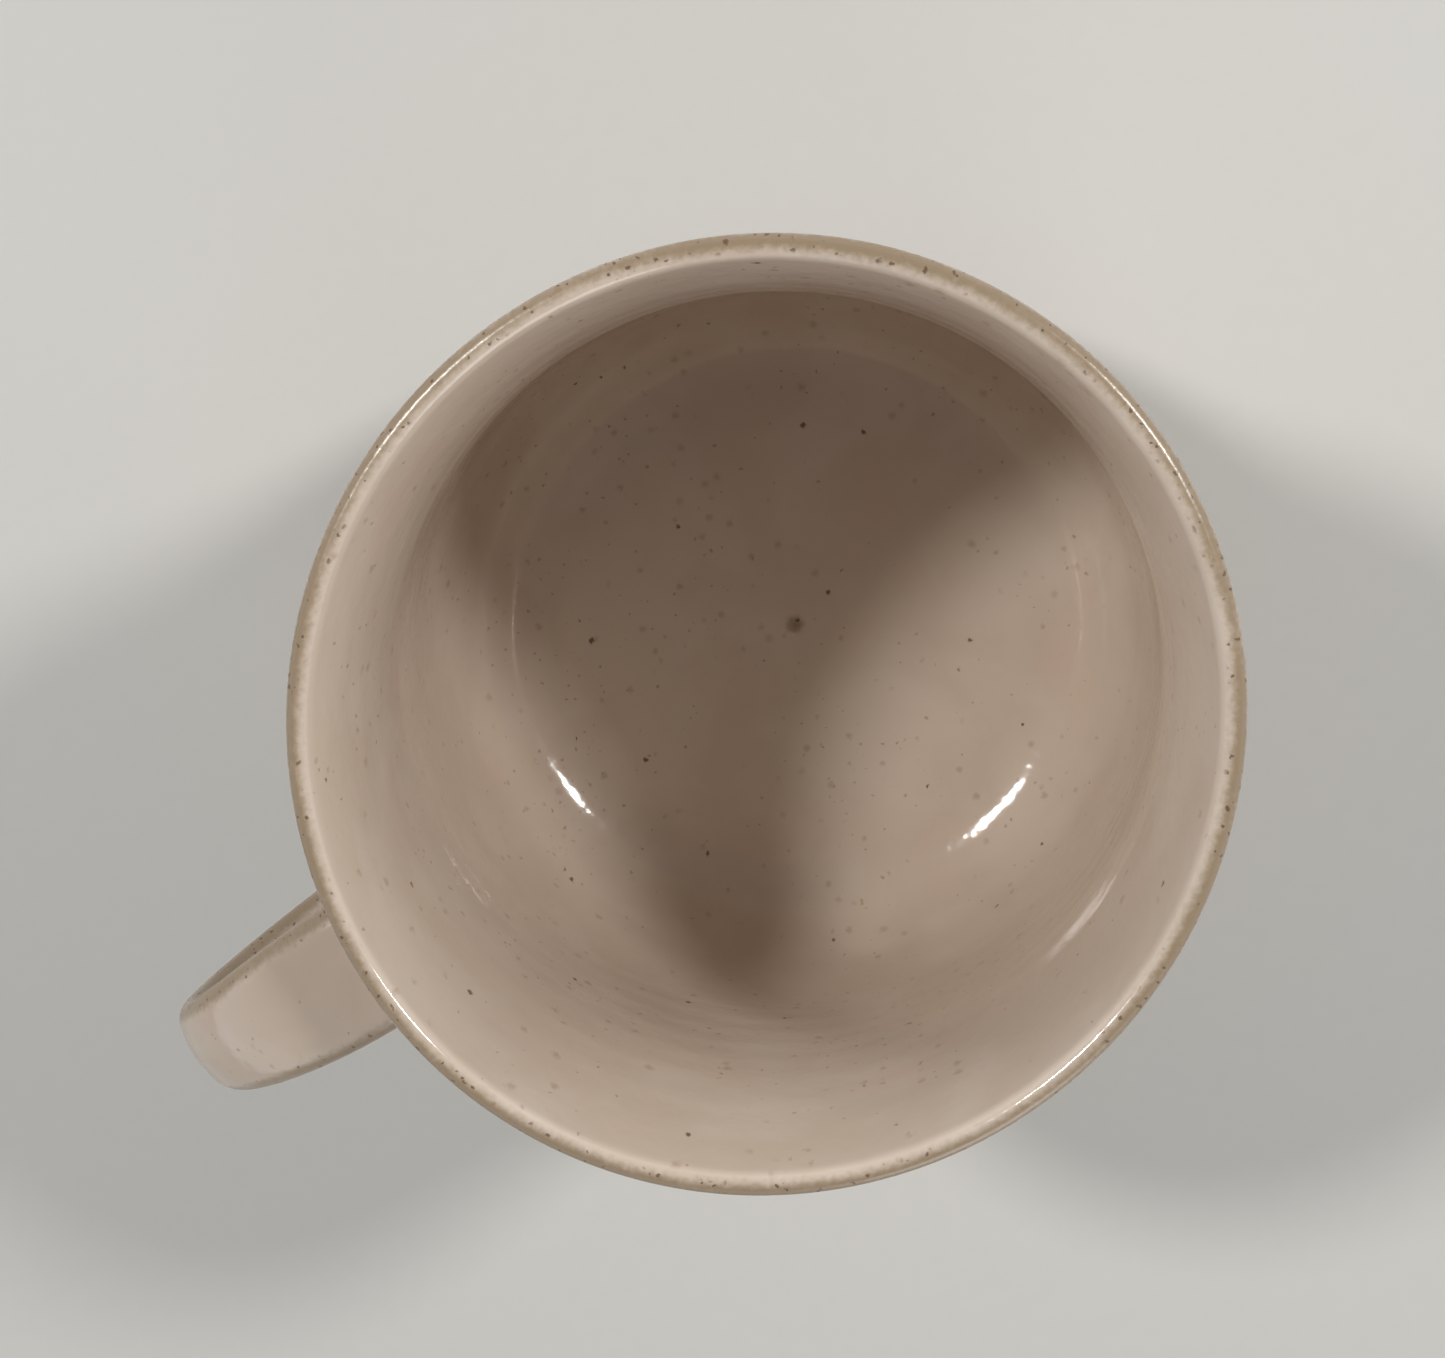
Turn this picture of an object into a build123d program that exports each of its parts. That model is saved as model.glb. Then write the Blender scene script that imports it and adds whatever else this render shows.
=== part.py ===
from build123d import *
import os
from math import cos, radians, sin, sqrt, tan

# A thrown stoneware mug with a pulled strap handle. The mug stands on its foot:
# +Z runs up its axis, the origin is the middle of the foot's resting plane, and
# the handle lies in the XZ plane on the +X side. Every length is in millimetres.

# ---- Overall ----
total_height = 90.0        # resting plane to the crest of the lip
rim_radius = 48.0          # outside of the lip
glaze_thickness = 0.4      # fired coat on every glazed face

# ---- Wall, measured over the glaze ----
lip_thickness = 2.6
lip_flare_outside = 6.0    # degrees from upright, just under the lip
lip_flare_inside = 10.0
neck_depth = 25.0          # from the crest down to the ring of the neck; the narrowest is just over it
neck_radius = 47.0         # outside, at that ring
neck_wall = 3.7
belly_height = 38.0        # ring of the belly, from the resting plane; the widest is just under it
belly_radius = 49.4        # outside, at that ring
belly_wall = 4.0

# ---- Floor and foot ----
floor_radius = 32.5        # flat disc inside
floor_thickness = 5.5
corner_radius = 12.5       # inside curve from the floor to the wall
corner_end = 10.0          # degrees short of upright where that curve hands over to the wall
foot_radius = 37.0         # outside of the bare clay ring
foot_width = 5.0
foot_recess = 3.5          # hollow under the floor
foot_edge = 0.8            # softened edges of the ring

# ---- Handle, measured over the glaze; its line is the middle of the strap ----
strap_thickness = 5.4
strap_edge = 2.2           # rounding along the strap's four edges
strap_width_top = 15.4     # where it leaves the upper joint
strap_width_middle = 11.4  # at its narrowest
strap_width_bottom = 13.6  # where it meets the lower joint
narrowest = 0.42           # share of the handle's line where the strap is slimmest
handle_reach = 30.1        # line beyond the belly, at the furthest
shoulder_share = 0.47      # how much of the bow is in the upper half; more gives a squarer shoulder
upper_joint_depth = 13.0   # line below the crest, at the wall
upper_rise = 4.5           # degrees that the strap climbs as it leaves the upper wall
lower_joint_height = 22.0  # line above the resting plane, at the wall
lower_fall = 20.0          # degrees that the strap dips as it runs into the lower wall
joint_length = 5.0         # each joint, from the wall to the strap
joint_flare = 1.7          # how far a joint spreads beyond the strap, on the wall
joint_root = 6.0           # how far a joint's blank runs on inside the wall before it is cut back

# ---- Worked out from the sizes above ----
floor_top = foot_recess + floor_thickness
corner_centre = (floor_radius, floor_top + corner_radius)
neck_height = total_height - neck_depth
lip_centre_height = total_height - lip_thickness / 2


def corner_point(radius):
    """Upper end of a corner arc of this radius, where the wall's curve takes over."""
    turn = radians(corner_end)
    return corner_centre[0] + radius * cos(turn), corner_centre[1] - radius * sin(turn)


def foot_shoulder(radius):
    """Height at which an outer corner arc of this radius runs into the foot ring."""
    return corner_centre[1] - sqrt(radius**2 - (foot_radius - corner_centre[0]) ** 2)


def upward(degrees, sense=1):
    """Direction in the section that leans outwards by this angle; sense -1 points down."""
    return sense * sin(radians(degrees)), sense * cos(radians(degrees))


def outer_line(cover):
    """Outside of the wall from the foot ring to the lip, this far under the glaze's face."""
    arc_radius = corner_radius + belly_wall - cover
    start = (foot_radius, foot_shoulder(arc_radius))
    shoulder = corner_point(arc_radius)
    half_turn = 0.5 * (start[0] + shoulder[0]) - corner_centre[0]
    middle = (
        corner_centre[0] + half_turn,
        corner_centre[1] - sqrt(arc_radius**2 - half_turn**2),
    )
    ThreePointArc(start, middle, shoulder)
    Spline(
        shoulder,
        (belly_radius - cover, belly_height),
        (neck_radius - cover, neck_height),
        (rim_radius - cover, lip_centre_height),
        tangents=(upward(corner_end), upward(lip_flare_outside)),
    )


def inner_line(cover):
    """Inside of the wall from the lip down to the middle of the floor."""
    arc_radius = corner_radius + cover
    shoulder = corner_point(arc_radius)
    Spline(
        (rim_radius - lip_thickness + cover, lip_centre_height),
        (neck_radius - neck_wall + cover, neck_height),
        (belly_radius - belly_wall + cover, belly_height),
        shoulder,
        tangents=(upward(lip_flare_inside, -1), upward(corner_end, -1)),
    )
    middle_turn = radians(0.5 * (90 + corner_end))
    middle = (
        corner_centre[0] + arc_radius * cos(middle_turn),
        corner_centre[1] - arc_radius * sin(middle_turn),
    )
    ThreePointArc(shoulder, middle, (floor_radius, floor_top - cover))
    Line((floor_radius, floor_top - cover), (0, floor_top - cover))


def lip_line(cover):
    """Round crest that joins the two sides of the wall."""
    ThreePointArc(
        (rim_radius - cover, lip_centre_height),
        (rim_radius - lip_thickness / 2, total_height - cover),
        (rim_radius - lip_thickness + cover, lip_centre_height),
    )


# ---- Mug body: the thrown clay cup, with its turned foot ring left bare ----
with BuildPart() as mug_body:
    with BuildSketch(Plane.XZ):
        with BuildLine():
            outer_line(glaze_thickness)
            lip_line(glaze_thickness)
            inner_line(glaze_thickness)
            Polyline(
                (0, floor_top - glaze_thickness),
                (0, foot_recess),
                (foot_radius - foot_width, foot_recess),
                (foot_radius - foot_width, 0),
                (foot_radius, 0),
                (foot_radius, foot_shoulder(corner_radius + belly_wall - glaze_thickness)),
            )
        make_face()
    revolve(axis=Axis.Z)
    resting_edges = mug_body.edges().filter_by(GeomType.CIRCLE).group_by(Axis.Z)[0]
    fillet(resting_edges, foot_edge)

# ---- Cup glaze: one coat over the lip, down both sides of the wall and over the floor ----
with BuildPart() as cup_glaze:
    with BuildSketch(Plane.XZ):
        with BuildLine():
            for cover in (0, glaze_thickness):
                outer_line(cover)
                lip_line(cover)
                inner_line(cover)
            Line((0, floor_top), (0, floor_top - glaze_thickness))
            Line(
                (foot_radius, foot_shoulder(corner_radius + belly_wall)),
                (foot_radius, foot_shoulder(corner_radius + belly_wall - glaze_thickness)),
            )
        make_face()
    revolve(axis=Axis.Z)


def filled_cup(cover):
    """The cup as a solid plug, this far under the glaze, to cut other pieces back to its wall."""
    with BuildPart() as plug:
        with BuildSketch(Plane.XZ):
            with BuildLine():
                outer_line(cover)
                Polyline(
                    (rim_radius - cover, lip_centre_height),
                    (0, lip_centre_height),
                    (0, 0),
                    (foot_radius, 0),
                    (foot_radius, foot_shoulder(corner_radius + belly_wall - cover)),
                )
            make_face()
        revolve(axis=Axis.Z)
    return plug.part


# ---- Handle line: one bow out of the upper wall, round and back to the lower wall ----
with BuildLine(Plane.XZ) as outside:
    outer_line(0)


def wall_radius(height):
    """Outside radius of the cup's wall at this height."""
    level = Axis((0, 0, height), (1, 0, 0))
    return max(point.X for edge in outside.edges() for point in edge.find_intersection_points(level))


line_top_height = total_height - upper_joint_depth
line_top = (wall_radius(line_top_height), line_top_height)
line_foot = (wall_radius(lower_joint_height), lower_joint_height)
# Half way along such a bow, the line stands out by 3/8 of the reach of its two arms together.
arms_reach = 8 / 3 * (belly_radius + handle_reach - 0.5 * (line_top[0] + line_foot[0]))
upper_arm = shoulder_share * arms_reach
lower_arm = (1 - shoulder_share) * arms_reach

with BuildLine(Plane.XZ):
    handle_line = Bezier(
        line_top,
        (line_top[0] + upper_arm, line_top[1] + upper_arm * tan(radians(upper_rise))),
        (line_foot[0] + lower_arm, line_foot[1] + lower_arm * tan(radians(lower_fall))),
        line_foot,
    )

line_length = handle_line.length
strap_start = joint_length
strap_end = line_length - joint_length
strap_steps = 12           # gaps between the strap's sections
joint_steps = (0, 0.5, 1)  # shares of a joint's length where it has a section


def strap_width(distance):
    """Width of the strap this far along the handle's line: a smooth swell to both ends."""
    waist = narrowest * line_length
    if distance < waist:
        end_width, away = strap_width_top, (waist - distance) / (waist - strap_start)
    else:
        end_width, away = strap_width_bottom, (distance - waist) / (strap_end - waist)
    away = min(away, 1)
    return strap_width_middle + (end_width - strap_width_middle) * away**2 * (3 - 2 * away)


def strap_plane(distance):
    """Plane across the strap this far along its line; its first axis runs along the width."""
    origin = handle_line.position_at(distance, position_mode=PositionMode.LENGTH)
    along = handle_line.tangent_at(distance, position_mode=PositionMode.LENGTH)
    return Plane(origin=origin, x_dir=(0, 1, 0), z_dir=along)


def strap_section(plane, distance, spread, cover):
    """Rounded section of the strap, spread wider all round and this far under the glaze."""
    with BuildSketch(plane) as section:
        RectangleRounded(
            strap_width(distance) + 2 * (spread - cover),
            strap_thickness + 2 * (spread - cover),
            strap_edge + spread - cover,
        )
    return section.sketch


def strap_sections(cover):
    """Sections along the strap between its two joints."""
    step_length = (strap_end - strap_start) / strap_steps
    distances = [strap_start + step_length * step for step in range(strap_steps + 1)]
    return [strap_section(strap_plane(distance), distance, 0, cover) for distance in distances]


def joint_sections(joined, wall, cover):
    """Sections of a joint's blank, from the strap's end at joined to the wall and on inside it."""
    sections = []
    for step in joint_steps:
        plane = strap_plane(joined + (wall - joined) * step)
        sections.append(strap_section(plane, joined, joint_flare * step**2, cover))
    root_plane = strap_plane(wall).offset(joint_root if wall > joined else -joint_root)
    sections.append(strap_section(root_plane, joined, joint_flare, cover))
    return sections


# ---- Upper and lower joints: the clay worked round each end of the strap ----
clay_plug = filled_cup(glaze_thickness)

with BuildPart() as upper_joint:
    loft(joint_sections(strap_start, 0, glaze_thickness))
    add(clay_plug, mode=Mode.SUBTRACT)

with BuildPart() as lower_joint:
    loft(joint_sections(strap_end, line_length, glaze_thickness))
    add(clay_plug, mode=Mode.SUBTRACT)

# ---- Handle: the pulled strap ----
with BuildPart() as handle:
    loft(strap_sections(glaze_thickness))

# ---- Handle glaze: one coat round the strap and both joints, up to the cup's own coat ----
with BuildPart() as handle_glaze:
    loft(strap_sections(0))
    loft(joint_sections(strap_start, 0, 0))
    loft(joint_sections(strap_end, line_length, 0))
    for inside in (filled_cup(0), handle.part, upper_joint.part, lower_joint.part):
        add(inside, mode=Mode.SUBTRACT)

# ---- The cup's coat stops where the clay of the joints passes through it ----
with cup_glaze:
    for joint in (upper_joint.part, lower_joint.part):
        add(joint, mode=Mode.SUBTRACT)

os.makedirs("parts", exist_ok=True)
pieces = {
    "mug_body": mug_body,
    "cup_glaze": cup_glaze,
    "handle": handle,
    "upper_joint": upper_joint,
    "lower_joint": lower_joint,
    "handle_glaze": handle_glaze,
}
for name, piece in pieces.items():
    piece.part.label = name
    export_step(piece.part, f"parts/{name}.step")
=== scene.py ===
"""A thrown stoneware mug with a pulled strap handle, under a speckled pinkish glaze.

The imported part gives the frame: the mug stands upright at the origin with its axis on Z,
and its handle reaches out along X. The classes hold their sizes in millimetres, as the part
does, and a finished mesh is scaled to metres.
"""

import logging
from dataclasses import dataclass
from enum import Enum
from math import atan2, cos, degrees, exp, hypot, pi, radians, sin, sqrt, tan

import bmesh
import bpy
from mathutils import Matrix, Vector
from mathutils.geometry import interpolate_bezier


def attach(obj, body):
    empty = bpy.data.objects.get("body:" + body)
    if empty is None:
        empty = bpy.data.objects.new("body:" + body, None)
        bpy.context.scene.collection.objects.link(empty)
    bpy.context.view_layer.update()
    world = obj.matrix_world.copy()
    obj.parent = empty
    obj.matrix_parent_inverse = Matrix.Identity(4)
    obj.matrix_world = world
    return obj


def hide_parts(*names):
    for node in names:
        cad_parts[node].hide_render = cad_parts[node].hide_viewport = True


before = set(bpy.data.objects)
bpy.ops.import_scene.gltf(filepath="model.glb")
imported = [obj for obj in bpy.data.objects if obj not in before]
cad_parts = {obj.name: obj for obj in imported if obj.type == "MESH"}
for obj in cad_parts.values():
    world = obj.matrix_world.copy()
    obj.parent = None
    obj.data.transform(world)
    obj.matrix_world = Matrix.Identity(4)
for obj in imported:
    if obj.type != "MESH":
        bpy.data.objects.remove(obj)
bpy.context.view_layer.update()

MM = 0.001

log = logging.getLogger("mug")

Colour = tuple[float, float, float]
Triple = tuple[float, float, float]
Link = bpy.types.NodeSocket


def bell(offset: float, spread: float) -> float:
    """One at no offset, dying away on both sides over the spread."""
    return exp(-((offset / spread) ** 2))


def smooth(share: float) -> float:
    """Eases a share from nothing to one, and holds it there."""
    share = min(max(share, 0.0), 1.0)
    return share**2 * (3 - 2 * share)


# ---------------------------------------------------------------- shader helpers


class Value:
    """A number in a shader; arithmetic on it adds Math nodes."""

    def __init__(self, shader: "Shader", socket: Link) -> None:
        """Wraps the socket that carries the number."""
        self.shader = shader
        self.socket = socket

    def _math(self, operation: str, *numbers: "Value | float") -> "Value":
        """Adds one Math node.

        Args:
            operation: the node's operation.
            numbers: its inputs, in order.

        Returns:
            The node's result.
        """
        node = self.shader.node("ShaderNodeMath", {"operation": operation}, dict(enumerate(numbers)))
        return Value(self.shader, node.outputs[0])

    def __add__(self, other: "Value | float") -> "Value":
        """Sum."""
        return self._math("ADD", self, other)

    __radd__ = __add__

    def __sub__(self, other: "Value | float") -> "Value":
        """Difference."""
        return self._math("SUBTRACT", self, other)

    def __rsub__(self, other: float) -> "Value":
        """Difference from a plain number."""
        return self._math("SUBTRACT", other, self)

    def __mul__(self, other: "Value | float") -> "Value":
        """Product."""
        return self._math("MULTIPLY", self, other)

    __rmul__ = __mul__

    def __truediv__(self, other: "Value | float") -> "Value":
        """Quotient."""
        return self._math("DIVIDE", self, other)

    def __pow__(self, power: float) -> "Value":
        """Power."""
        return self._math("POWER", self, power)

    def __lt__(self, other: "Value | float") -> "Value":
        """One where this is the smaller, else nothing."""
        return self._math("LESS_THAN", self, other)

    def at_most(self, other: "Value | float") -> "Value":
        """The smaller of the two."""
        return self._math("MINIMUM", self, other)

    def at_least(self, other: "Value | float") -> "Value":
        """The larger of the two."""
        return self._math("MAXIMUM", self, other)

    def rise(self, low: float, high: float) -> "Value":
        """Smooth step.

        Args:
            low: where it leaves nothing.
            high: where it reaches one.

        Returns:
            A value from nothing to one.
        """
        share = ((self - low) / (high - low)).at_least(0.0).at_most(1.0)
        return share * share * (3.0 - 2.0 * share)


class Shader:
    """A node tree under construction, with one method that adds any node."""

    def __init__(self, tree: bpy.types.NodeTree) -> None:
        """Wraps the tree."""
        self.tree = tree

    def node(self, kind: str, settings: dict, sockets: dict) -> bpy.types.Node:
        """Adds a node.

        Args:
            kind: the node's type.
            settings: its properties, set first.
            sockets: values or links of its inputs, by name or number.

        Returns:
            The node.
        """
        node = self.tree.nodes.new(kind)
        for name, setting in settings.items():
            setattr(node, name, setting)
        for name, what in sockets.items():
            self.feed(node.inputs[name], what)
        return node

    def feed(self, socket: Link, what: "Value | Link | float | tuple") -> None:
        """Gives an input what it reads.

        Args:
            socket: the input.
            what: a value or a socket to link, or a plain number, vector or colour to set.
        """
        if isinstance(what, Value):
            self.tree.links.new(what.socket, socket)
        elif isinstance(what, bpy.types.NodeSocket):
            self.tree.links.new(what, socket)
        elif socket.type == "RGBA":
            socket.default_value = (*what, 1.0)
        else:
            socket.default_value = what

    def place(self) -> Link:
        """Where a point of the piece is, in metres."""
        return self.node("ShaderNodeTexCoord", {}, {}).outputs["Object"]

    def stretched(self, place: Link, scale: Triple, shift: Triple = (0.0, 0.0, 0.0)) -> Link:
        """A place scaled along each axis, then shifted."""
        sockets = {"Vector": place, "Scale": scale, "Location": shift}
        return self.node("ShaderNodeMapping", {}, sockets).outputs["Vector"]

    def wandering(self, place: Link, grain: float, reach: float) -> Link:
        """A place pushed about by noise, so that round things read there turn out uneven.

        Args:
            place: where it starts.
            grain: width of the noise's features, in millimetres.
            reach: how far it is pushed, in millimetres.

        Returns:
            The place.
        """
        sockets = {"Vector": place, "Scale": 1.0 / (grain * MM), "Detail": 1.0}
        push = self.node("ShaderNodeTexNoise", {}, sockets).outputs["Color"]
        sockets = {0: push, 1: (reach * MM,) * 3, 2: place}
        return self.node("ShaderNodeVectorMath", {"operation": "MULTIPLY_ADD"}, sockets).outputs[0]

    def around(self, place: Link) -> Link:
        """Turns a place into distance from the axis and height, so a pattern runs round the axis.

        Args:
            place: where it starts.

        Returns:
            The place.
        """
        x, y, height = self.parts(place)
        radius = (x * x + y * y) ** 0.5
        return self.node("ShaderNodeCombineXYZ", {}, {0: radius, 2: height}).outputs[0]

    def attribute(self, name: str) -> Value:
        """A number stored on the piece's points."""
        node = self.node("ShaderNodeAttribute", {"attribute_name": name}, {})
        return Value(self, node.outputs["Fac"])

    def parts(self, vector: Link) -> tuple[Value, Value, Value]:
        """The three numbers of a vector."""
        node = self.node("ShaderNodeSeparateXYZ", {}, {"Vector": vector})
        return tuple(Value(self, output) for output in node.outputs)

    def noise(self, place: Link, grain: float, detail: float = 2.0, warp: float = 0.0) -> Value:
        """Cloudy noise.

        Args:
            place: where it is read.
            grain: width of its features, in millimetres.
            detail: how many finer layers it has.
            warp: how far it twists itself.

        Returns:
            A value about a half.
        """
        sockets = {"Vector": place, "Scale": 1.0 / (grain * MM), "Detail": detail, "Distortion": warp}
        return Value(self, self.node("ShaderNodeTexNoise", {}, sockets).outputs[0])

    def specks(self, place: Link, speck: "Speck", share: "Value | float") -> Value:
        """Round grains scattered through space, cut where the surface meets them.

        Args:
            place: where they are read.
            speck: their sizes.
            share: how many of the possible grains there are, up to one.

        Returns:
            One inside a grain, nothing outside.
        """
        sockets = {"Vector": place, "Scale": 1.0 / (speck.gap * MM), "Randomness": 1.0}
        cells = self.node("ShaderNodeTexVoronoi", {"feature": "F1"}, sockets)
        lot, girth, _ = self.parts(cells.outputs["Color"])
        distance = Value(self, cells.outputs["Distance"])
        radius = (speck.radius / speck.gap) * (speck.smallest + (1.0 - speck.smallest) * girth)
        inside = 1.0 - (distance / radius).rise(1.0 - speck.softness, 1.0 + speck.softness)
        return inside * (lot < share)

    def mix(self, share: "Value | float", first: "Link | Colour", second: "Link | Colour") -> Link:
        """First colour towards the second by a share."""
        sockets = {0: share, 6: first, 7: second}
        return self.node("ShaderNodeMix", {"data_type": "RGBA"}, sockets).outputs[2]

    def bump(self, height: Value, strength: float = 1.0) -> Link:
        """Normals of a surface raised by this height in metres."""
        sockets = {"Height": height, "Distance": 1.0, "Strength": strength}
        return self.node("ShaderNodeBump", {}, sockets).outputs["Normal"]


class Finish(Shader):
    """A material under construction, with a Principled shader on its output."""

    def __init__(self, name: str) -> None:
        """Makes the material.

        Args:
            name: its name.
        """
        self.material = bpy.data.materials.new(name)
        self.material.use_nodes = True
        super().__init__(self.material.node_tree)
        self.tree.nodes.clear()
        self.surface = self.node("ShaderNodeBsdfPrincipled", {}, {})
        self.node("ShaderNodeOutputMaterial", {}, {"Surface": self.surface.outputs["BSDF"]})

    def wear(self, **looks: "Value | Link | float | tuple") -> bpy.types.Material:
        """Feeds the surface's inputs.

        Args:
            looks: what each input reads, by its name with underscores for spaces.

        Returns:
            The finished material.
        """
        for name, what in looks.items():
            self.feed(self.surface.inputs[name.replace("_", " ")], what)
        return self.material


# ---------------------------------------------------------------- finishes


@dataclass(frozen=True)
class Speck:
    """One kind of grain, in millimetres, and how strongly it colours what it lies in."""

    radius: float
    gap: float
    softness: float
    strength: float
    smallest: float = 0.45


class SpeckKind(Enum):
    """The kinds of iron grain that bleed through the glaze."""

    CRISP = Speck(radius=0.37, gap=3.1, softness=0.45, strength=0.85)
    FAINT = Speck(radius=0.48, gap=2.0, softness=0.85, strength=0.40)
    FINE = Speck(radius=0.23, gap=1.3, softness=0.60, strength=0.62)
    BREAK = Speck(radius=0.27, gap=1.05, softness=0.30, strength=0.78)


@dataclass(frozen=True)
class Glaze:
    """Satin-gloss pinkish glaze: iron specks, a soft mottle, and tan where it runs thin.

    Grains are widths of noise and, like the heights of the skin, in millimetres. Shares,
    strengths and roughness are parts of one.
    """

    name: str
    body: Colour = (0.600, 0.496, 0.408)
    pale: Colour = (0.645, 0.548, 0.462)
    blush: Colour = (0.640, 0.440, 0.380)
    thin: Colour = (0.262, 0.190, 0.116)
    speck: Colour = (0.110, 0.058, 0.030)
    fleck: Colour = (0.300, 0.190, 0.115)
    bending: float = 1.52
    gloss: float = 0.085
    gloss_drift: float = 0.04
    gloss_grain: float = 9.0
    dry: float = 0.16
    thinning: float = 0.92
    ragged: float = 0.60
    ragged_grain: float = 0.7
    sway: float = 0.45
    sway_grain: float = 12.0
    cloud_grain: float = 16.0
    blush_share: float = 0.24
    blush_grain: float = 21.0
    drift_grain: float = 19.0
    crisp_share: float = 0.13
    faint_share: float = 0.34
    fine_share: float = 0.36
    burnt_share: float = 0.70
    uneven: float = 0.70
    uneven_grain: float = 0.6
    ripple: float = 0.065
    ripple_grain: float = 6.5
    peel: float = 0.036
    peel_grain: float = 1.7
    pits: float = 0.020
    pits_grain: float = 0.6
    rings: float = 0.0
    rings_grain: float = 1.7

    def material(self) -> bpy.types.Material:
        """Mixes the glaze; it reads how thin it lies from the piece's edge attribute.

        Returns:
            The glaze as a material.
        """
        shader = Finish(self.name)
        place = shader.place()
        edge = self._edge(shader, place)
        colour = shader.mix(edge * self.thinning, self._mottle(shader, place), self.thin)
        rough = self.gloss + self.gloss_drift * shader.noise(place, self.gloss_grain) + self.dry * edge
        return shader.wear(
            Base_Color=self._speckle(shader, place, colour),
            Roughness=rough,
            Normal=shader.bump(self._skin(shader, place, edge)),
            IOR=self.bending,
        )

    def _edge(self, shader: Shader, place: Link) -> Value:
        """Works out how far the glaze has run off, broken up along its border.

        Args:
            shader: the material.
            place: where it is read.

        Returns:
            One where the glaze is thin.
        """
        ragged = shader.noise(place, self.ragged_grain, 4.0) - 0.5
        sway = shader.noise(place, self.sway_grain, 1.0) - 0.5
        return (shader.attribute("edge") + self.ragged * ragged + self.sway * sway).rise(0.12, 1.02)

    def _mottle(self, shader: Shader, place: Link) -> Link:
        """Shifts the body colour in soft clouds, with a faint blush.

        Args:
            shader: the material.
            place: where it is read.

        Returns:
            The colour.
        """
        clouds = shader.noise(place, self.cloud_grain, 4.0, 0.4).rise(0.35, 0.68)
        colour = shader.mix(clouds, self.body, self.pale)
        elsewhere = shader.stretched(place, (1.0, 1.0, 1.6), (0.31, 0.12, 0.05))
        patches = shader.noise(elsewhere, self.blush_grain, 2.0).rise(0.56, 0.80)
        return shader.mix(patches * self.blush_share, colour, self.blush)

    def _speckle(self, shader: Shader, place: Link, colour: Link) -> Link:
        """Scatters the iron grains, thicker in drifts and along the thin edges.

        Args:
            shader: the material.
            place: where it is read.
            colour: what they lie in.

        Returns:
            The colour with its grains.
        """
        run = shader.stretched(place, (1.0, 1.0, 0.80))
        run = shader.wandering(run, self.uneven_grain, self.uneven)
        drift = shader.noise(run, self.drift_grain, 2.0).rise(0.38, 0.72)
        thin = shader.attribute("edge").rise(0.15, 0.6)
        layers = (
            (SpeckKind.FAINT, self.faint_share * (0.3 + drift), 1.0, self.fleck),
            (SpeckKind.FINE, self.fine_share * (0.15 + 1.3 * drift), 1.0, self.fleck),
            (SpeckKind.BREAK, self.burnt_share, thin, self.speck),
            (SpeckKind.CRISP, self.crisp_share, 1.0, self.speck),
        )
        for kind, share, cover, tint in layers:
            grains = shader.specks(run, kind.value, share) * cover
            colour = shader.mix(grains * kind.value.strength, colour, tint)
        return colour

    def _skin(self, shader: Shader, place: Link, edge: Value) -> Value:
        """Raises the skin: ripple, orange peel, fine rings, and pits along thin edges.

        Args:
            shader: the material.
            place: where it is read.
            edge: where the glaze is thin.

        Returns:
            The height in metres.
        """
        ripple = self.ripple * MM * shader.noise(place, self.ripple_grain, 1.0)
        peel = self.peel * MM * shader.noise(place, self.peel_grain, 1.0)
        pits = self.pits * MM * edge * shader.noise(place, self.pits_grain, 2.0)
        rings = self.rings * MM * shader.noise(shader.around(place), self.rings_grain, 1.0)
        return ripple + peel + pits + rings


@dataclass(frozen=True)
class Stoneware:
    """Bare fired clay: buff, sandy, toasted where flame reached it, turned on the wheel."""

    name: str
    body: Colour = (0.470, 0.360, 0.270)
    toast: Colour = (0.330, 0.215, 0.140)
    sand: Colour = (0.200, 0.135, 0.090)
    pale: Colour = (0.580, 0.480, 0.380)
    toast_strength: float = 0.7
    toast_grain: float = 13.0
    grit: Speck = Speck(radius=0.26, gap=0.9, softness=0.3, strength=0.75)
    grit_share: float = 0.30
    chalk: Speck = Speck(radius=0.20, gap=1.2, softness=0.4, strength=0.60)
    chalk_share: float = 0.3
    roughness: float = 0.78
    roughness_drift: float = 0.14
    roughness_grain: float = 1.5
    turning: float = 0.05
    turning_grain: float = 1.9
    tooth: float = 0.06
    tooth_grain: float = 0.7
    grit_depth: float = 0.05
    relief: float = 0.8

    def material(self) -> bpy.types.Material:
        """Mixes the clay.

        Returns:
            The clay as a material.
        """
        shader = Finish(self.name)
        place = shader.place()
        toasted = shader.noise(place, self.toast_grain, 4.0).rise(0.42, 0.66)
        colour = shader.mix(toasted * self.toast_strength, self.body, self.toast)
        grit = shader.specks(place, self.grit, self.grit_share)
        colour = shader.mix(grit * self.grit.strength, colour, self.sand)
        elsewhere = shader.stretched(place, (1.0, 1.0, 1.0), (0.4, 0.2, 0.7))
        chalk = shader.specks(elsewhere, self.chalk, self.chalk_share)
        turning = self.turning * MM * shader.noise(shader.around(place), self.turning_grain, 1.0)
        tooth = self.tooth * MM * shader.noise(place, self.tooth_grain, 3.0)
        return shader.wear(
            Base_Color=shader.mix(chalk * self.chalk.strength, colour, self.pale),
            Roughness=self.roughness + self.roughness_drift * shader.noise(place, self.roughness_grain),
            Normal=shader.bump(turning + tooth - self.grit_depth * MM * grit, self.relief),
        )


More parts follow.
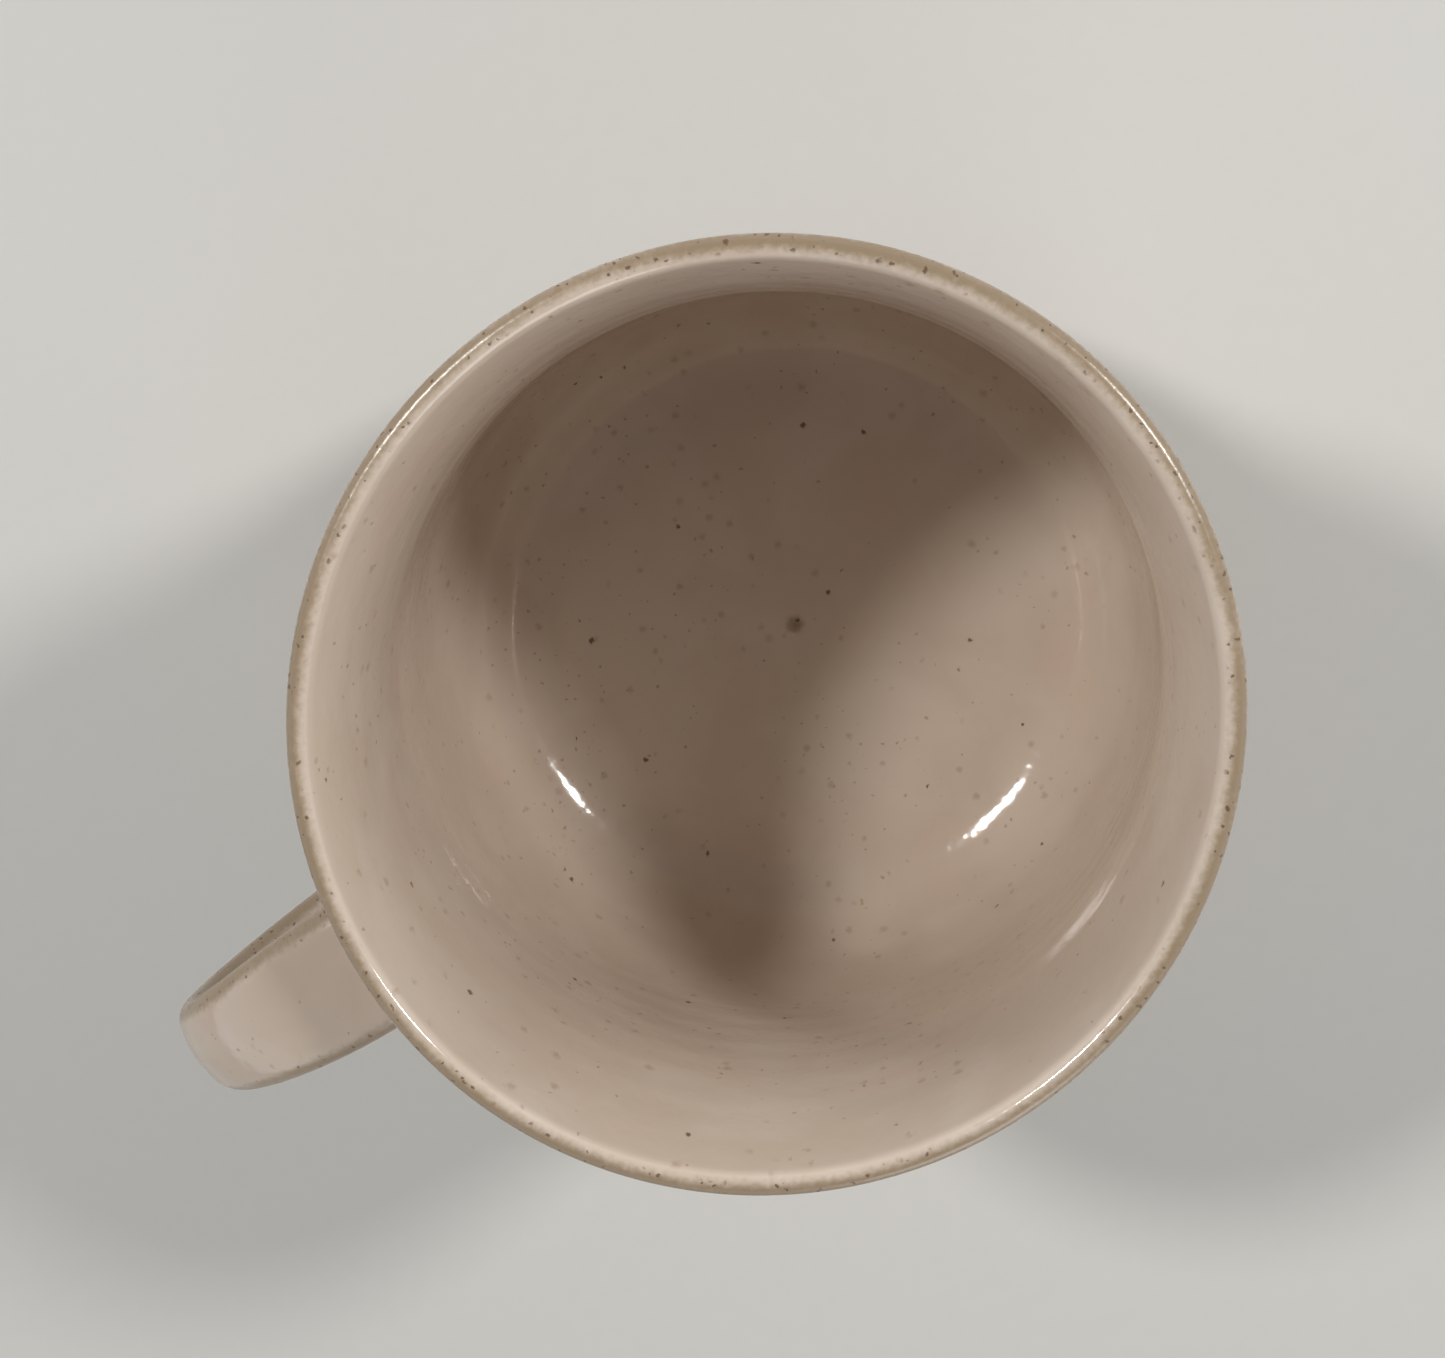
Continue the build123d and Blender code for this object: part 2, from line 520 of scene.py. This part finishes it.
@dataclass(frozen=True)
class Backdrop:
    """Plain pale matt floor with the faintest grain."""

    name: str = "pale_floor"
    tone: Colour = (0.600, 0.592, 0.570)
    dimming: float = 0.97
    grain: float = 3.0
    roughness: float = 0.62
    roughness_drift: float = 0.1

    def material(self) -> bpy.types.Material:
        """Mixes the floor's paint.

        Returns:
            The floor as a material.
        """
        shader = Finish(self.name)
        grain = shader.noise(shader.place(), self.grain, 4.0)
        darker = tuple(part * self.dimming for part in self.tone)
        return shader.wear(
            Base_Color=shader.mix(grain, darker, self.tone),
            Roughness=self.roughness + self.roughness_drift * grain,
        )


# ---------------------------------------------------------------- mesh helpers


@dataclass(frozen=True)
class Knot:
    """A point of a section: its distance from the axis, its height and the way the line runs.

    The heading is in degrees from upright, positive outwards.
    """

    radius: float
    height: float
    heading: float

    @property
    def point(self) -> Vector:
        """The point in the section's plane."""
        return Vector((self.radius, 0.0, self.height))

    @property
    def way(self) -> Vector:
        """Unit vector along the line."""
        return Vector((sin(radians(self.heading)), 0.0, cos(radians(self.heading))))


def stroke(knots: list[Knot], spacing: float) -> list[Vector]:
    """Smooth line through knots, exact for arcs and gentle elsewhere.

    Args:
        knots: the knots in order.
        spacing: distance between the points, in millimetres.

    Returns:
        Points along the line, both ends among them.
    """
    points = [knots[0].point]
    for start, end in zip(knots, knots[1:]):
        chord = (end.point - start.point).length
        turn = max(start.way.angle(end.way), 1e-4)
        reach = chord * (2 / 3) * tan(turn / 4) / sin(turn / 2)
        steps = max(2, round(chord / spacing))
        handles = (start.point + reach * start.way, end.point - reach * end.way)
        points += interpolate_bezier(start.point, *handles, end.point, steps + 1)[1:]
    return points


def chain(shape: bmesh.types.BMesh, points: list[Vector]) -> None:
    """Adds points to a mesh, joined one after another by edges.

    Args:
        shape: the mesh.
        points: the points in order.
    """
    made = [shape.verts.new(point) for point in points]
    for pair in zip(made, made[1:]):
        shape.edges.new(pair)


def finished(shape: bmesh.types.BMesh, name: str, material: bpy.types.Material) -> bpy.types.Object:
    """Turns a bmesh in millimetres into a smooth object in metres.

    Args:
        shape: the mesh; it is freed.
        name: the piece's name.
        material: its finish.

    Returns:
        The object, at the origin.
    """
    bmesh.ops.scale(shape, vec=(MM, MM, MM), verts=shape.verts)
    for face in shape.faces:
        face.smooth = True
    mesh = bpy.data.meshes.new(name)
    shape.to_mesh(mesh)
    shape.free()
    mesh.materials.append(material)
    piece = bpy.data.objects.new(name, mesh)
    bpy.context.scene.collection.objects.link(piece)
    return piece


def report(piece: bpy.types.Object) -> None:
    """Logs a piece, its size in millimetres and its faces.

    Args:
        piece: the finished piece.
    """
    size = " x ".join(f"{side / MM:.1f}" for side in piece.dimensions)
    log.info("%s: %s mm, %d faces", piece.name, size, len(piece.data.polygons))


# ---------------------------------------------------------------- the cup


@dataclass
class Cup:
    """The thrown cup: its glaze coat, and the clay body with a bare turned foot."""

    coat: float = 0.4
    foot: Knot = Knot(37.0, 5.63, 74.2)
    outside: tuple[Knot, ...] = (
        Knot(48.75, 18.63, 10.0),
        Knot(49.35, 38.0, -3.3),
        Knot(47.0, 65.0, -2.85),
        Knot(48.0, 88.7, 6.0),
    )
    crest: Knot = Knot(46.7, 89.99, -90.0)
    inside: tuple[Knot, ...] = (
        Knot(45.4, 88.7, -170.0),
        Knot(43.3, 65.0, -180.8),
        Knot(45.4, 38.0, -184.05),
        Knot(44.81, 19.33, -170.0),
        Knot(32.5, 9.0, -90.0),
    )
    base: tuple[Knot, ...] = (
        Knot(37.0, 5.9, 180.0),
        Knot(37.0, 0.8, 180.0),
        Knot(36.2, 0.0, -90.0),
        Knot(32.8, 0.0, -90.0),
        Knot(32.0, 0.8, 0.0),
        Knot(32.0, 2.7, 0.0),
        Knot(31.2, 3.5, -90.0),
        Knot(0.0, 3.5, -90.0),
    )
    glaze_roll: float = 0.55

    line_spacing: float = 1.3
    inner_spacing: float = 0.6
    lip_spacing: float = 0.3
    middle_spacing: float = 0.2
    clay_every: int = 4
    round_steps: int = 224

    ring_pitch: float = 6.4
    ring_depth: float = 0.03
    ring_top: float = 86.0
    ring_fade: float = 8.0
    ring_start: float = 12.0
    floor_reach: float = 10.0
    middle: float = 4.0
    nub_height: float = 0.45
    nub_radius: float = 1.4
    dip_depth: float = 0.22
    dip_radius: float = 2.6
    oval: float = 0.75
    oval_bearing: float = 27.0

    lip_centre: tuple[float, float] = (46.7, 88.7)
    lip_radius: float = 1.3
    lip_reach: float = 3.0
    break_angle: float = 58.0
    break_spread: float = 56.0
    nub_thin: float = 0.95
    foot_line: float = 6.0
    foot_line_thin: float = 0.8
    foot_line_spread: float = 0.9
    foot_line_top: float = 8.5
    foot_line_inside: float = 34.7

    def __post_init__(self) -> None:
        """Keeps the outside line at hand, to measure the wall on."""
        self.outer_line = stroke([self.foot, *self.outside], self.line_spacing)

    def wall_radius(self, height: float) -> float:
        """Measures the wall.

        Args:
            height: above the resting plane.

        Returns:
            The wall's outside radius there.
        """
        for below, above in zip(self.outer_line, self.outer_line[1:]):
            if above.z >= height:
                share = (height - below.z) / (above.z - below.z)
                return below.x + (above.x - below.x) * share
        return self.outer_line[-1].x

    def _skin_line(self) -> list[Vector]:
        """Draws the glaze's face.

        Returns:
            Points from the foot over the lip to the middle of the floor.
        """
        floor_edge = self.inside[-1]
        near_middle = Knot(self.middle, floor_edge.height, floor_edge.heading)
        centre = Knot(0.0, floor_edge.height, floor_edge.heading)
        lip = stroke([self.outside[-1], self.crest, self.inside[0]], self.lip_spacing)
        inner = stroke(list(self.inside), self.inner_spacing)
        floor = stroke([floor_edge, near_middle], self.line_spacing)
        middle = stroke([near_middle, centre], self.middle_spacing)
        return self.outer_line + lip[1:] + inner[1:] + floor[1:] + middle[1:]

    def _clay_line(self, skin: list[Vector]) -> list[Vector]:
        """Draws the coat's hidden face, against the clay.

        Args:
            skin: points of the glaze's face.

        Returns:
            Points from the middle of the floor back to the foot.
        """
        hidden = []
        for before, here, after in zip(skin, skin[1:], skin[2:]):
            along = (after - before).normalized()
            hidden.append(here + self.coat * Vector((-along.z, 0.0, along.x)))
        middle = Vector((0.0, 0.0, skin[-1].z - self.coat))
        return [middle, *reversed(hidden[:: self.clay_every])]

    def build_coat(self, material: bpy.types.Material) -> bpy.types.Object:
        """Spins the glaze's section into a closed coat.

        Args:
            material: the glaze.

        Returns:
            The coat as an object.
        """
        skin = self._skin_line()
        roll = skin[0] + Vector((0.0, 0.0, self.glaze_roll * self.coat))
        shape = self._spun([*skin, *self._clay_line(skin), roll], closed=True)
        self._throw(shape)
        edge = shape.verts.layers.float.new("edge")
        for vert in shape.verts:
            vert[edge] = self._thinness(hypot(vert.co.x, vert.co.y), vert.co.z)
        self._settle(shape)
        return finished(shape, "cup_coat", material)

    def build_body(self, material: bpy.types.Material) -> bpy.types.Object:
        """Spins the clay under the coat, with its bare turned foot.

        Args:
            material: the clay.

        Returns:
            The clay cup as an object.
        """
        clay = self._clay_line(self._skin_line())
        shape = self._spun([*clay, *stroke(list(self.base), self.line_spacing)], closed=False)
        self._settle(shape)
        return finished(shape, "thrown_body", material)

    def _spun(self, section: list[Vector], closed: bool) -> bmesh.types.BMesh:
        """Turns a section once round the axis.

        Args:
            section: its points.
            closed: whether its last point joins its first; otherwise both ends are on the axis.

        Returns:
            A mesh that faces outwards.
        """
        shape = bmesh.new()
        chain(shape, section)
        if closed:
            verts = shape.verts[:]
            shape.edges.new((verts[-1], verts[0]))
        bmesh.ops.spin(
            shape,
            geom=shape.verts[:] + shape.edges[:],
            cent=(0.0, 0.0, 0.0),
            axis=(0.0, 0.0, 1.0),
            dvec=(0.0, 0.0, 0.0),
            angle=2 * pi,
            steps=self.round_steps,
            use_merge=True,
        )
        bmesh.ops.remove_doubles(shape, verts=shape.verts, dist=1e-4)
        bmesh.ops.recalc_face_normals(shape, faces=shape.faces)
        return shape

    def _settle(self, shape: bmesh.types.BMesh) -> None:
        """Lets the mouth go a little oval, as a thrown cup does when it is lifted off the wheel.

        Args:
            shape: the spun mesh.
        """
        low = self.outside[1].height
        for vert in shape.verts:
            if vert.co.z <= low:
                continue
            share = smooth((vert.co.z - low) / (self.crest.height - low))
            bearing = atan2(vert.co.y, vert.co.x) - radians(self.oval_bearing)
            push = self.oval * share * cos(2 * bearing) / hypot(vert.co.x, vert.co.y)
            vert.co.x *= 1 + push
            vert.co.y *= 1 + push

    def _throw(self, shape: bmesh.types.BMesh) -> None:
        """Leaves the potter's marks inside: a slow spiral of rings and a nub in the floor's middle.

        Args:
            shape: the spun coat.
        """
        shape.normal_update()
        mouth = self.crest.radius - self.lip_radius
        for vert in shape.verts:
            radius = hypot(vert.co.x, vert.co.y)
            up = vert.normal.z > 0.5
            inner = up or vert.normal.x * vert.co.x + vert.normal.y * vert.co.y < 0
            if radius > mouth or vert.co.z > self.ring_top or not inner:
                continue
            turn = atan2(vert.co.y, vert.co.x)
            run = vert.co.z + max(0.0, self.inside[-1].radius - radius)
            fade = min(1.0, radius / self.ring_start)
            fade *= min(1.0, (self.ring_top - vert.co.z) / self.ring_fade)
            wave = 0.5 + 0.5 * sin(2 * pi * run / self.ring_pitch + turn)
            vert.co -= vert.normal * (self.ring_depth * fade * wave)
            if vert.co.z < self.floor_reach and up:
                nub = self.nub_height * bell(radius, self.nub_radius)
                vert.co.z += nub - self.dip_depth * bell(radius, self.dip_radius)

    def _thinness(self, radius: float, height: float) -> float:
        """Tells how thin the glaze lies: over the lip, on the nub and along its foot line.

        Args:
            radius: the point's distance from the axis.
            height: the point's height.

        Returns:
            Nothing where the glaze is thick, up to one where it has run off.
        """
        if height < self.foot_line_top and radius > self.foot_line_inside:
            return self.foot_line_thin * bell(height - self.foot_line, self.foot_line_spread)
        if height < self.floor_reach and radius < self.middle:
            return self.nub_thin * bell(radius, self.nub_radius)
        out = radius - self.lip_centre[0]
        up = height - self.lip_centre[1]
        if up <= -self.lip_reach:
            return 0.0
        return bell(degrees(atan2(up, out)) - self.break_angle, self.break_spread)


# ---------------------------------------------------------------- the handle


@dataclass
class StrapHandle:
    """The pulled strap and its glaze coat, worked into the wall at both ends."""

    wall: Cup
    top: Triple = (47.04, 0.0, 77.0)
    shoulder: Triple = (86.46, 0.0, 80.10)
    bend: Triple = (93.51, 0.0, 38.18)
    heel: Triple = (49.05, 0.0, 22.0)
    thickness: float = 5.4
    edge_radius: float = 2.2
    width_top: float = 15.4
    width_middle: float = 11.4
    width_bottom: float = 13.6
    waist: float = 0.42
    crown: float = 0.42
    coat: float = 0.4

    joint: float = 5.0
    fillet: float = 3.0
    sink: float = 1.6
    edge_ridge: float = 0.55
    edge_spread: float = 1.05
    edge_stop: float = 1.5

    line_steps: int = 600
    edge_segments: int = 8
    face_cuts: tuple[float, ...] = (-0.36, -0.24, -0.12, 0.0, 0.12, 0.24, 0.36)
    cuts: int = 190
    end_packing: float = 0.72

    def __post_init__(self) -> None:
        """Draws the handle's line and measures it."""
        bow = [Vector(point) for point in (self.top, self.shoulder, self.bend, self.heel)]
        self.line = interpolate_bezier(*bow, self.line_steps)
        self.marks = [0.0]
        for start, end in zip(self.line, self.line[1:]):
            self.marks.append(self.marks[-1] + (end - start).length)
        self.length = self.marks[-1]

    def station(self, distance: float) -> tuple[Vector, Vector]:
        """Point and direction of the handle's line.

        Args:
            distance: along the line; beyond either end it runs on straight.

        Returns:
            The point and the unit vector along the line.
        """
        inside = min(max(distance, 0.0), self.length)
        steps = enumerate(self.marks[1:])
        index = next((step for step, mark in steps if mark >= inside), len(self.marks) - 2)
        start, end = self.line[index], self.line[index + 1]
        before = self.line[max(index - 1, 0)]
        after = self.line[min(index + 2, len(self.line) - 1)]
        share = (inside - self.marks[index]) / (self.marks[index + 1] - self.marks[index])
        way = (end - before).normalized().lerp((after - start).normalized(), share).normalized()
        return start.lerp(end, share) + way * (distance - inside), way

    def width(self, distance: float) -> float:
        """Swells the strap smoothly from its waist to both ends.

        Args:
            distance: along the handle's line.

        Returns:
            The strap's width there.
        """
        waist = self.waist * self.length
        if distance < waist:
            wide, away = self.width_top, (waist - distance) / (waist - self.joint)
        else:
            wide, away = self.width_bottom, (distance - waist) / (self.length - self.joint - waist)
        return self.width_middle + (wide - self.width_middle) * smooth(away)

    @staticmethod
    def _long_edges(shape: bmesh.types.BMesh) -> list[bmesh.types.BMEdge]:
        """The edges that run along the straight bar."""
        return [edge for edge in shape.edges if abs(edge.verts[0].co.x - edge.verts[1].co.x) > 0.5]

    def _bar(self) -> bmesh.types.BMesh:
        """Makes a straight rounded bar, one unit long.

        Returns:
            Its mesh, cut across for bending.
        """
        shape = bmesh.new()
        bmesh.ops.create_cube(shape, size=1.0)
        bmesh.ops.scale(shape, vec=(1.0, self.width_middle, self.thickness), verts=shape.verts)
        bmesh.ops.bevel(
            shape,
            geom=self._long_edges(shape),
            offset=self.edge_radius,
            affect="EDGES",
            segments=self.edge_segments,
            profile=0.5,
            material=-1,
        )
        for share in self.face_cuts:
            bmesh.ops.bisect_plane(
                shape,
                geom=shape.verts[:] + shape.edges[:] + shape.faces[:],
                plane_co=(0.0, share * self.width_middle, 0.0),
                plane_no=(0.0, 1.0, 0.0),
            )
        bmesh.ops.subdivide_edges(shape, edges=self._long_edges(shape), cuts=self.cuts)
        return shape

    def _clearance(self, point: Vector) -> float:
        """How far a point stands off the cup's wall, along the radius."""
        return hypot(point.x, point.y) - self.wall.wall_radius(point.z)

    def _spread(self, clearance: float) -> float:
        """Spreads the strap in a quarter round as it nears the wall.

        Args:
            clearance: from the wall.

        Returns:
            How much further out its skin lies.
        """
        if clearance >= self.fillet:
            return 0.0
        rest = self.fillet - max(clearance, 0.0)
        return self.fillet - sqrt(self.fillet**2 - rest**2)

    def _bent(self, local: Vector, inset: float) -> tuple[Vector, float]:
        """Carries a point of the straight bar to its place on the handle.

        Args:
            local: the point on the bar.
            inset: how far it lies under the glaze's face.

        Returns:
            Its place, and how thin the glaze is there.
        """
        core_width = self.width_middle / 2 - self.edge_radius
        core_depth = self.thickness / 2 - self.edge_radius
        across = min(max(local.y, -core_width), core_width)
        through = min(max(local.z, -core_depth), core_depth)
        side = (local.y - across) / self.edge_radius
        face = (local.z - through) / self.edge_radius
        share = local.x + 0.5
        packed = share - self.end_packing * sin(2 * pi * share) / (2 * pi)
        distance = -self.sink + packed * (self.length + 2 * self.sink)
        point, way = self.station(distance)
        sideways = Vector((0.0, 1.0, 0.0))
        outward = Vector((-way.z, 0.0, way.x))
        half = self.width(distance) / 2
        out = across * (half - self.edge_radius) / core_width + side * self.edge_radius
        rise = (through + face * self.edge_radius) * (1 - self.crown * (out / half) ** 2)
        base = point + sideways * out + outward * rise
        clearance = self._clearance(base)
        spread = self._spread(clearance)
        base += (sideways * side + outward * face) * (spread - inset)
        if spread > 0.0:
            lift = (self._clearance(base) - clearance) * spread / self.fillet
            base -= Vector((base.x, base.y, 0.0)).normalized() * lift
        thin = bell(half - abs(out) - self.edge_ridge, self.edge_spread)
        return base, thin * (1 - min(1.0, spread / self.edge_stop))

    def _pulled(self, inset: float) -> bmesh.types.BMesh:
        """Bends the bar round the handle's line and works its ends into the wall.

        Args:
            inset: how far it lies under the glaze's face.

        Returns:
            The mesh, with how thin the glaze is at each point.
        """
        shape = self._bar()
        edge = shape.verts.layers.float.new("edge")
        for vert in shape.verts:
            vert.co, vert[edge] = self._bent(vert.co, inset)
        bmesh.ops.recalc_face_normals(shape, faces=shape.faces)
        return shape

    def build_coat(self, material: bpy.types.Material) -> bpy.types.Object:
        """Makes the strap's glazed face, in this finish."""
        return finished(self._pulled(0.0), "handle_coat", material)

    def build_strap(self, material: bpy.types.Material) -> bpy.types.Object:
        """Makes the clay strap under the glaze, in this finish."""
        return finished(self._pulled(self.coat), "pulled_strap", material)


# ---------------------------------------------------------------- studio


@dataclass(frozen=True)
class LampPlace:
    """Where a lamp hangs, as seen from the mug: sizes in metres, power in watts."""

    way: Triple
    power: float
    size: float = 0.13
    distance: float = 0.9
    tint: Colour = (1.0, 0.975, 0.94)


class Lamp(Enum):
    """The two small lamps whose images lie in the glaze, and a broad low fill."""

    RIGHT_HAND_LAMP = LampPlace((-0.73, 0.038, 0.682), 4.1)
    LEFT_HAND_LAMP = LampPlace((0.279, -0.525, 0.804), 3.85)
    LOW_FILL = LampPlace((0.166, 0.942, 0.292), 1.6, size=0.5)


@dataclass
class Studio:
    """Pale floor, soft light all round and the lamps."""

    aim: Triple = (0.0, 0.0, 0.05)
    floor_side: float = 6.0
    sky: Colour = (0.92, 0.96, 1.0)
    overhead: float = 0.15
    horizon: float = 1.0
    dim_from: float = 0.10
    dim_to: float = 0.62

    def build(self) -> None:
        """Makes the floor, the soft surrounding light and the lamps."""
        self._floor()
        self._sky()
        for lamp in Lamp:
            self._hang(lamp)

    def _floor(self) -> None:
        """Lays the floor under the foot."""
        shape = bmesh.new()
        bmesh.ops.create_grid(shape, x_segments=1, y_segments=1, size=self.floor_side / 2 / MM)
        finished(shape, "floor", Backdrop().material())

    def _sky(self) -> None:
        """Surrounds the scene with pale light that dims overhead."""
        world = bpy.data.worlds.new("room")
        world.use_nodes = True
        background = world.node_tree.nodes["Background"]
        shader = Shader(world.node_tree)
        _, _, up = shader.parts(shader.node("ShaderNodeTexCoord", {}, {}).outputs["Generated"])
        dimming = (self.overhead - self.horizon) * up.rise(self.dim_from, self.dim_to)
        shader.feed(background.inputs["Color"], self.sky)
        shader.feed(background.inputs["Strength"], self.horizon + dimming)
        bpy.context.scene.world = world

    def _hang(self, lamp: Lamp) -> None:
        """Hangs one round lamp, facing the mug.

        Args:
            lamp: which one.
        """
        place = lamp.value
        data = bpy.data.lights.new(lamp.name.lower(), "AREA")
        data.shape = "DISK"
        data.size = place.size
        data.energy = place.power
        data.color = place.tint
        way = Vector(place.way).normalized()
        hung = bpy.data.objects.new(lamp.name.lower(), data)
        hung.location = Vector(self.aim) + way * place.distance
        hung.rotation_euler = way.to_track_quat("Z", "Y").to_euler()
        bpy.context.scene.collection.objects.link(hung)


@dataclass
class View:
    """The camera, held over the mouth and turned so that the handle hangs lower left."""

    place: Triple = (-31.674, -24.614, 293.028)
    right: Triple = (-0.83276, 0.54779, -0.08018)
    down: Triple = (0.53210, 0.83193, 0.15734)
    lens: float = 52.318
    sensor: float = 36.0
    nearest: float = 0.01
    farthest: float = 20.0

    def build(self) -> None:
        """Makes the camera and gives it to the scene."""
        data = bpy.data.cameras.new("camera")
        data.lens = self.lens
        data.sensor_width = self.sensor
        data.clip_start = self.nearest
        data.clip_end = self.farthest
        right, up = Vector(self.right), -Vector(self.down)
        turn = Matrix((right, up, right.cross(up))).transposed().to_4x4()
        camera = bpy.data.objects.new("camera", data)
        camera.matrix_world = Matrix.Translation(Vector(self.place) * MM) @ turn
        bpy.context.scene.collection.objects.link(camera)
        bpy.context.scene.camera = camera
        bpy.context.scene.view_settings.view_transform = "Standard"


# ---------------------------------------------------------------- assembly


def main() -> None:
    """Builds the mug's pieces in order, then the studio and the camera."""
    logging.basicConfig(level=logging.INFO, format="%(message)s")
    clay = Stoneware("bare_clay").material()
    cup_glaze = Glaze("cup_glaze", rings=0.003).material()
    # The handle's body and pale colours are darker than the cup's: this is painted shade for the shadow
    # the cup casts on the handle. The real glaze is the same colour on both.
    handle_glaze = Glaze(
        "handle_glaze",
        body=(0.495, 0.402, 0.325),
        pale=(0.545, 0.453, 0.375),
        ripple=0.13,
        thinning=0.86,
    ).material()

    cup = Cup()
    body = cup.build_body(clay)
    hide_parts("mug_body")
    cup_coat = cup.build_coat(cup_glaze)
    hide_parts("cup_glaze")

    handle = StrapHandle(cup)
    strap = handle.build_strap(clay)
    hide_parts("handle", "upper_joint", "lower_joint")
    handle_coat = handle.build_coat(handle_glaze)
    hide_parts("handle_glaze")

    for piece in (body, cup_coat, strap, handle_coat):
        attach(piece, "root")
        report(piece)
    Studio().build()
    View().build()


if __name__ == "__main__":
    main()
